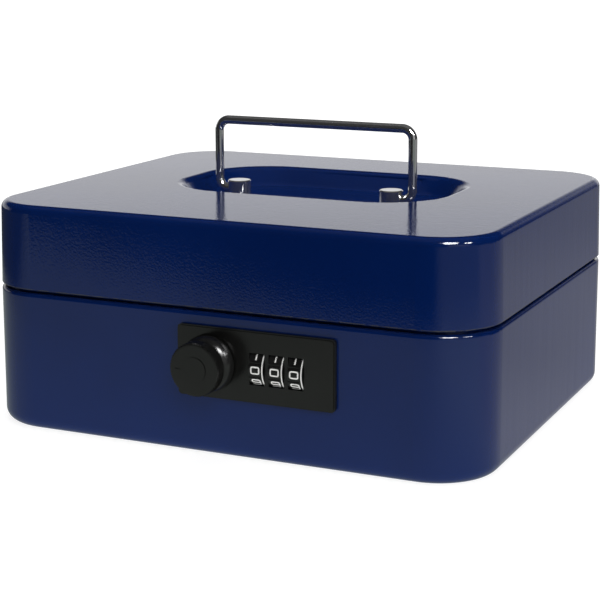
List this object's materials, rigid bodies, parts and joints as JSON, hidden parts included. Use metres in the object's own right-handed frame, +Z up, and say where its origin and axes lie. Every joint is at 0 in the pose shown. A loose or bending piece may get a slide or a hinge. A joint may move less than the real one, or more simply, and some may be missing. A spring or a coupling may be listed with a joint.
{
  "type": "lockable storage box",
  "caption": "Steel storage box with a hinged lid, folding wire handle, dial combination lock and lift-out coin tray.",
  "frame": {"origin": "middle of the flat underside", "axes": "+X to the right along the long side, +Y to the back (the lock faces -Y), +Z up"},
  "size_m": [0.2, 0.1889, 0.1125],
  "materials": {
    "blue_paint": "high gloss enamel with a faint orange peel",
    "zinc_steel": "zinc plated, satin",
    "handle_chrome": "bright chrome plating",
    "black_plastic": "satin moulded",
    "gloss_black": "polished",
    "dial_black": "semi-gloss with white numbers",
    "white_plastic": "moulded",
    "tray_plastic": "fine moulded grain"
  },
  "bodies": {
    "base": {"base_shell": "blue_paint", "hinge_base_leaf_left": "zinc_steel", "hinge_base_leaf_right": "zinc_steel", "hinge_pin_left": "zinc_steel", "hinge_pin_right": "zinc_steel", "lock_faceplate": "black_plastic", "lock_body": "black_plastic", "lock_screws": "zinc_steel", "knob_collar": "gloss_black", "spindle_bush": "zinc_steel", "dial_axle": "zinc_steel", "detent_spring": "zinc_steel", "tray_rest_left": "blue_paint", "tray_rest_right": "blue_paint"},
    "lid": {"lid_shell": "blue_paint", "lid_catch": "zinc_steel", "hinge_lid_leaf_left": "zinc_steel", "hinge_lid_leaf_right": "zinc_steel", "handle_post_left": "handle_chrome", "handle_post_right": "handle_chrome", "handle_post_washers": "zinc_steel"},
    "handle": {"handle_bail": "handle_chrome"},
    "knob_and_cam": {"knob": "black_plastic", "knob_spindle": "zinc_steel", "lock_cam": "zinc_steel", "cam_screw": "zinc_steel"},
    "dial_one": {"dial_1": "dial_black"},
    "dial_two": {"dial_2": "dial_black"},
    "dial_three": {"dial_3": "dial_black"},
    "code_change_lever": {"code_lever": "white_plastic"},
    "tray": {"coin_tray": "tray_plastic"}
  },
  "joints": [
    {"name": "lid_hinge", "type": "hinge", "parent": "base", "child": "lid", "pos_m": [0, 0.0865, 0.0535], "axis": [-1, 0, 0], "range_deg": [0, 100]},
    {"name": "handle_fold", "type": "hinge", "parent": "lid", "child": "handle", "pos_m": [0, 0.002, 0.0827], "axis": [-1, 0, 0], "range_deg": [-77, 94]},
    {"name": "knob_turn", "type": "hinge", "parent": "base", "child": "knob_and_cam", "pos_m": [0, -0.08825, 0.0353], "axis": [0, -1, 0], "range_deg": [0, 90]},
    {"name": "dial_1_turn", "type": "hinge", "parent": "base", "child": "dial_one", "pos_m": [0.0187, -0.08205, 0.0347], "axis": [1, 0, 0], "continuous": true},
    {"name": "dial_2_turn", "type": "hinge", "parent": "base", "child": "dial_two", "pos_m": [0.0262, -0.08205, 0.0347], "axis": [1, 0, 0], "continuous": true},
    {"name": "dial_3_turn", "type": "hinge", "parent": "base", "child": "dial_three", "pos_m": [0.0337, -0.08205, 0.0347], "axis": [1, 0, 0], "continuous": true},
    {"name": "code_lever_slide", "type": "slide", "parent": "base", "child": "code_change_lever", "axis": [0, 0, 1], "range_m": [0, 0.004]},
    {"name": "tray_lift", "type": "slide", "parent": "base", "child": "tray", "axis": [0, 0, 1], "range_m": [0, 0.015]}
  ]
}
